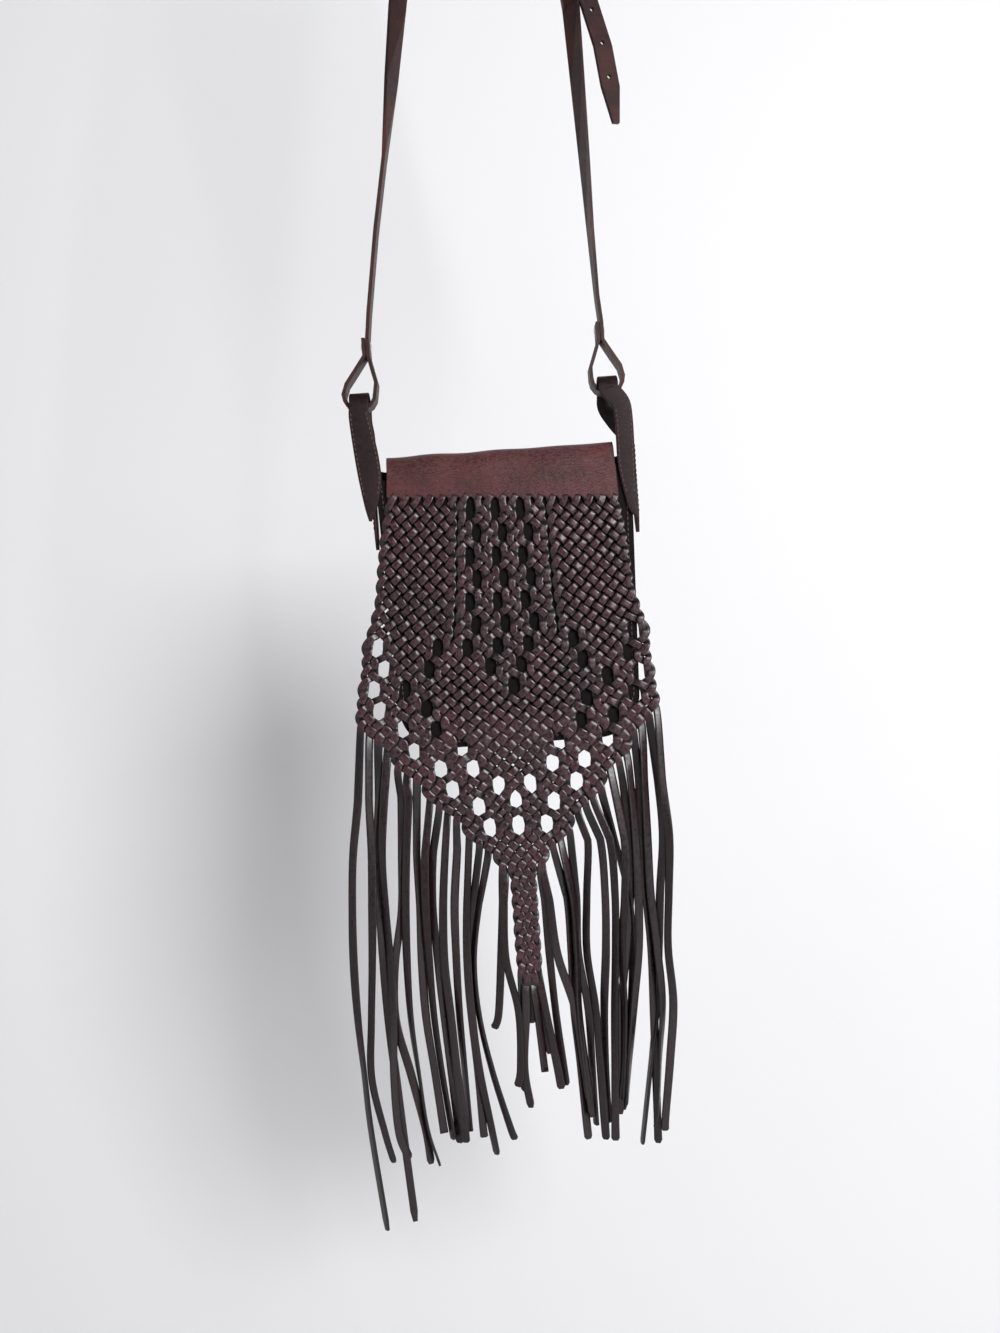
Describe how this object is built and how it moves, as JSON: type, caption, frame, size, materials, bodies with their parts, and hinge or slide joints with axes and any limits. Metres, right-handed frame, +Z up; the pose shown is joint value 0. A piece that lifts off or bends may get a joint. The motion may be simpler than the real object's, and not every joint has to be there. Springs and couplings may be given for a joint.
{
  "type": "fringed leather bag",
  "caption": "Small cross-body bag of dark leather: a pouch under a braided, openwork flap that ends in a long fringe, hung by a buckled strap.",
  "frame": {"origin": "where the inside of the strap's highest point rests on the hook, peg or shoulder that holds the bag", "axes": "+Z up along the hanging strap, -Y towards the viewer of the flap's front, +X to that viewer's right"},
  "size_m": [0.2255, 0.0325, 1.1697],
  "materials": {
    "flap_leather": "smooth, slightly glossy, worn",
    "pouch_leather": "smooth, very dark, slightly glossy",
    "tab_leather": "smooth, slightly glossy",
    "strap_leather": "smooth with a light grain, edges creased",
    "buckle_metal": "nickel, rubbed",
    "rivet_metal": "nickel, rubbed"
  },
  "bodies": {
    "strap": {"strap_long": "strap_leather", "strap_short": "strap_leather", "buckle_frame": "buckle_metal", "buckle_prong": "buckle_metal", "keeper_loop": "strap_leather", "rivet_left": "rivet_metal", "rivet_right": "rivet_metal"},
    "bag": {"back_panel": "pouch_leather", "front_panel": "pouch_leather", "gusset": "pouch_leather", "tab_left": "tab_leather", "tab_right": "tab_leather"},
    "flap": {"woven_flap": "flap_leather"}
  },
  "joints": [
    {"name": "bag_swing", "type": "hinge", "parent": "strap", "child": "bag", "pos_m": [0, -0.0043, -0.5772], "axis": [1, 0, 0], "range_deg": [-20, 20]},
    {"name": "flap_open", "type": "hinge", "parent": "bag", "child": "flap", "pos_m": [0, 0.0075, -0.6175], "axis": [-1, 0, 0], "range_deg": [0, 106]}
  ]
}
